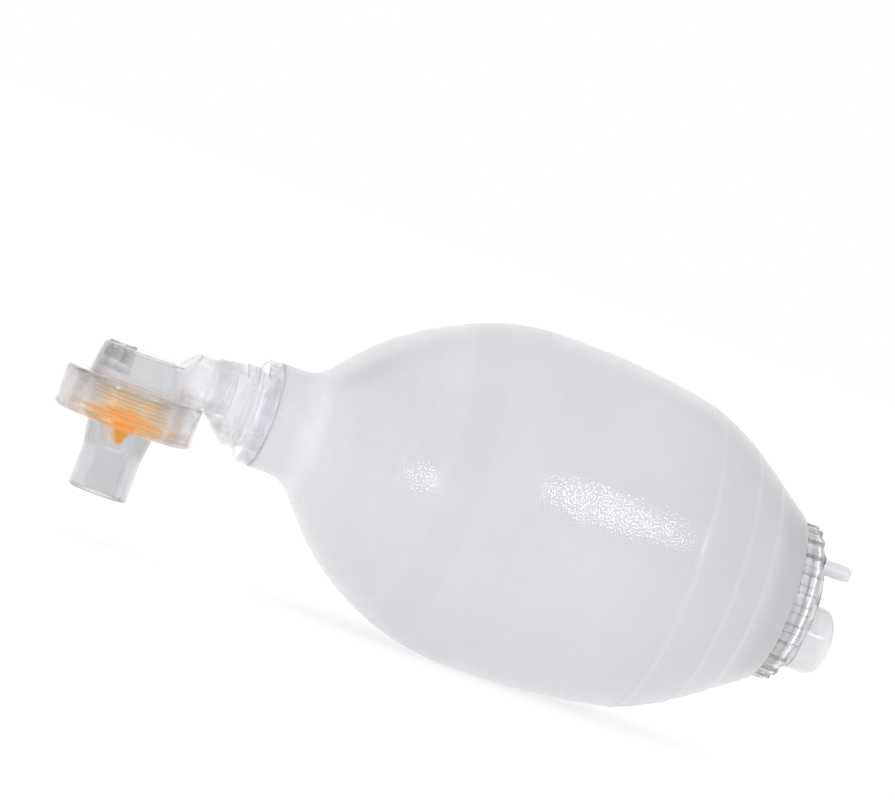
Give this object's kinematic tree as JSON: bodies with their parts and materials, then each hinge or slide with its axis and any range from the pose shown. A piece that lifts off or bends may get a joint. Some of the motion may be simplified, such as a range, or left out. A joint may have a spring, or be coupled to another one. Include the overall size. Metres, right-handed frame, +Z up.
{
  "type": "bag valve mask",
  "caption": "Self-inflating resuscitator bag with a swivelling clear patient valve, an orange duckbill, and an oxygen intake with a ribbed collar.",
  "frame": {"origin": "middle of the device's length, on the surface the bag's belly rests on", "axes": "+X along the bag's axis, from the patient valve towards the oxygen intake; +Z up, so the patient port points along -Z"},
  "size_m": [0.298, 0.127, 0.1265],
  "materials": {
    "bag": "frosted translucent, fine pebbled texture",
    "clear": "clear, glossy",
    "orange": "translucent silicone, satin",
    "milky": "milky, glossy",
    "white": "satin",
    "seal": "translucent silicone, satin",
    "steel": "drawn wire"
  },
  "bodies": {
    "bag": {"bag": "bag", "neck_bush": "clear", "intake_insert": "clear", "intake_stud": "white", "cover_gasket": "seal", "intake_cover": "clear", "oxygen_nipple": "white", "reservoir_socket": "milky"},
    "pressed_wall": {"bag_pressed_wall": "bag"},
    "head": {"swivel_bell": "clear", "swivel_oring": "seal", "swivel_clip": "white", "valve_housing": "clear", "patient_connector": "clear", "relief_cap": "clear", "relief_spring": "steel"},
    "duckbill": {"duckbill_valve": "orange"},
    "relief": {"relief_poppet": "white", "relief_seal": "seal"},
    "intake_disc": {"intake_flap": "seal"},
    "washer": {"slip_washer": "white"},
    "collar": {"rear_collar": "clear"}
  },
  "joints": [
    {"name": "bag_press", "type": "slide", "parent": "bag", "child": "pressed_wall", "axis": [0, 0, -1], "range_m": [0, 0.036], "stiffness_N_per_m": 300, "springref_m": -0.004},
    {"name": "head_swivel", "type": "hinge", "parent": "bag", "child": "head", "pos_m": [-0.0774, 0, 0.063], "axis": [1, 0, 0], "continuous": true},
    {"name": "duckbill_lift", "type": "slide", "parent": "head", "child": "duckbill", "axis": [0, 0, 1], "range_m": [0, 0.0015], "stiffness_N_per_m": 40, "springref_m": -0.001},
    {"name": "relief_lift", "type": "slide", "parent": "head", "child": "relief", "axis": [0, 0, 1], "range_m": [0, 0.002], "stiffness_N_per_m": 40, "springref_m": -0.002, "deforming": ["relief_spring"]},
    {"name": "intake_flap_open", "type": "slide", "parent": "bag", "child": "intake_disc", "axis": [-1, 0, 0], "range_m": [0, 0.0022], "stiffness_N_per_m": 40, "springref_m": -0.001},
    {"name": "collar_advance", "type": "slide", "parent": "bag", "child": "washer", "axis": [1, 0, 0], "range_m": [0, 0.003]},
    {"name": "collar_turn", "type": "hinge", "parent": "washer", "child": "collar", "pos_m": [0.1276, 0, 0.063], "axis": [1, 0, 0], "range_deg": [0, 540]}
  ],
  "couplings": [
    {"joint": "collar_advance", "follows": "collar_turn", "m_per_rad": 0.000318}
  ]
}
